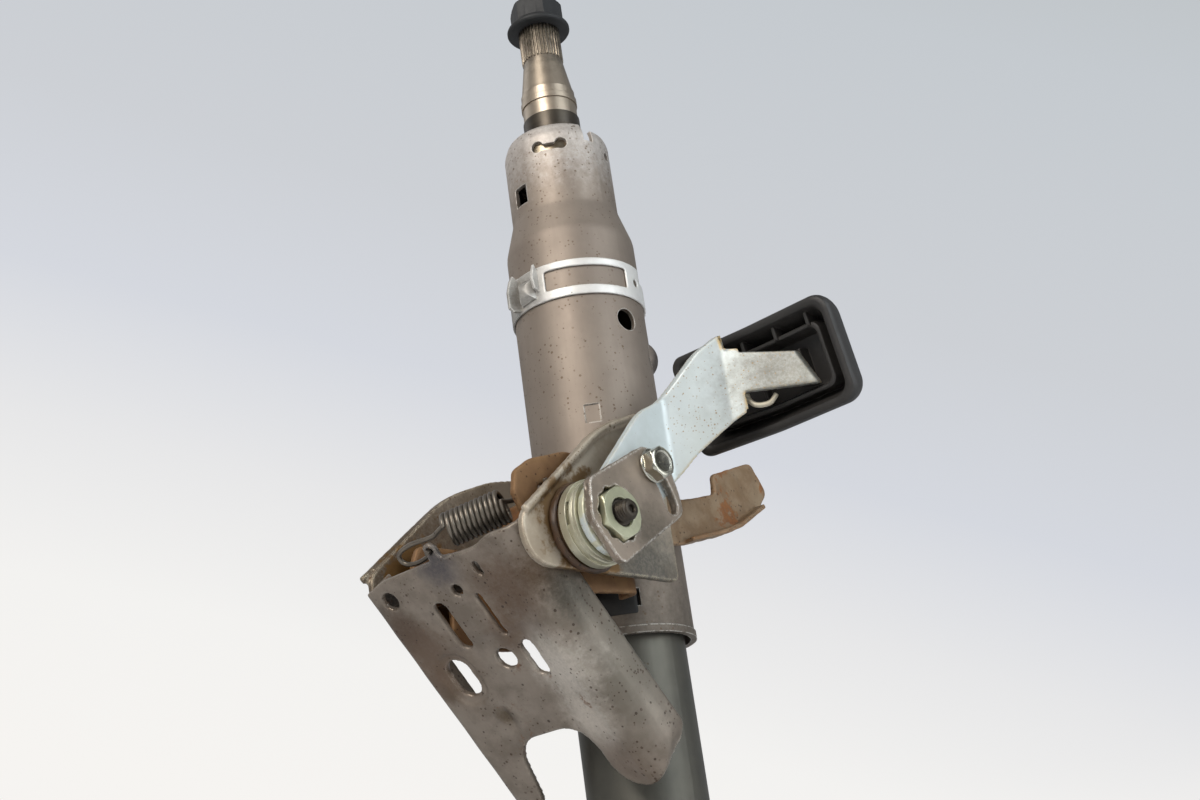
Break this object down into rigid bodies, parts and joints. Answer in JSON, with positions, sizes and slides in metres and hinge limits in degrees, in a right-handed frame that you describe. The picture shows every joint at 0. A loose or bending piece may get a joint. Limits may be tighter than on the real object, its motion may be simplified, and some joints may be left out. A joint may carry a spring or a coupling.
{
  "type": "steering column",
  "caption": "Adjustable steering column: telescoping jacket and lower tube round a splined shaft, slanted mounting bracket with cheek plates, clamp lever with dished handle.",
  "frame": {"origin": "middle of the lower shaft's free journal, on the column axis", "axes": "+Z along the column to the steering wheel, +X along the clamp bolt and the tilt pivot, -Y to the mounting face"},
  "size_m": [0.1864, 0.1617, 0.571],
  "materials": {
    "pressed_steel": "warm grey pressed steel with brown rust specks",
    "jacket_steel": "satin grey drawn tube",
    "tube_steel": "bluish grey drawn tube",
    "rusty_steel": "yellow brown greased and rusted steel",
    "zinc_steel": "zinc plated steel",
    "yellow_zinc": "yellow green passivated zinc",
    "dark_steel": "dark oiled steel",
    "shaft_steel": "turned steel with a brown film",
    "black_nut": "black phosphated steel",
    "black_plastic": "black grained plastic",
    "bush_rubber": "black rubber",
    "bearing_steel": "ground bearing steel",
    "lock_steel": "grey brown sheared steel"
  },
  "bodies": {
    "bracket": {"mounting_bracket": "pressed_steel", "left_cheek": "pressed_steel", "right_cheek": "pressed_steel", "balance_spring": "dark_steel"},
    "column": {"lower_tube": "tube_steel", "slide_sleeve": "black_plastic", "pivot_bracket": "pressed_steel", "pivot_barrel": "tube_steel", "pivot_bush": "bush_rubber", "lower_bearing_outer": "bearing_steel", "clamp_bolt": "dark_steel", "thrust_washers": "rusty_steel", "slide_spacers": "dark_steel", "cam_disc": "yellow_zinc", "cam_hub": "yellow_zinc"},
    "jacket": {"jacket_tube": "jacket_steel", "saddle_bracket": "rusty_steel", "side_arm": "rusty_steel", "band_clamp": "zinc_steel", "upper_bearing_outer": "bearing_steel"},
    "upper_shaft_body": {"upper_shaft": "shaft_steel", "wheel_nut": "black_nut", "seal_ring": "black_plastic", "spring_washer": "shaft_steel", "upper_bearing_inner": "bearing_steel", "upper_balls": "bearing_steel"},
    "lower_shaft_body": {"lower_shaft": "shaft_steel", "lower_bearing_inner": "bearing_steel", "lower_balls": "bearing_steel"},
    "lever": {"clamp_lever": "zinc_steel", "lock_plate": "lock_steel", "clamp_nut": "yellow_zinc", "lever_screw": "zinc_steel", "lever_handle": "black_plastic"}
  },
  "joints": [
    {"name": "tilt", "type": "hinge", "parent": "bracket", "child": "column", "pos_m": [0, -0.04, 0.07], "axis": [1, 0, 0], "range_deg": [-4.5, 1], "deforming": ["balance_spring"]},
    {"name": "reach", "type": "slide", "parent": "column", "child": "jacket", "axis": [0, 0, 1], "range_m": [-0.006, 0.014], "deforming": ["balance_spring"]},
    {"name": "wheel_turn", "type": "hinge", "parent": "jacket", "child": "upper_shaft_body", "pos_m": [0, 0, 0.46], "axis": [0, 0, 1], "continuous": true},
    {"name": "lower_turn", "type": "hinge", "parent": "column", "child": "lower_shaft_body", "pos_m": [0, 0, 0.05], "axis": [0, 0, 1], "continuous": true},
    {"name": "clamp_lever_turn", "type": "hinge", "parent": "column", "child": "lever", "pos_m": [0.0637, -0.066, 0.27], "axis": [1, 0, 0], "range_deg": [-65, 0]}
  ],
  "couplings": [
    {"joint": "wheel_turn", "follows": "lower_turn", "ratio": 1}
  ]
}
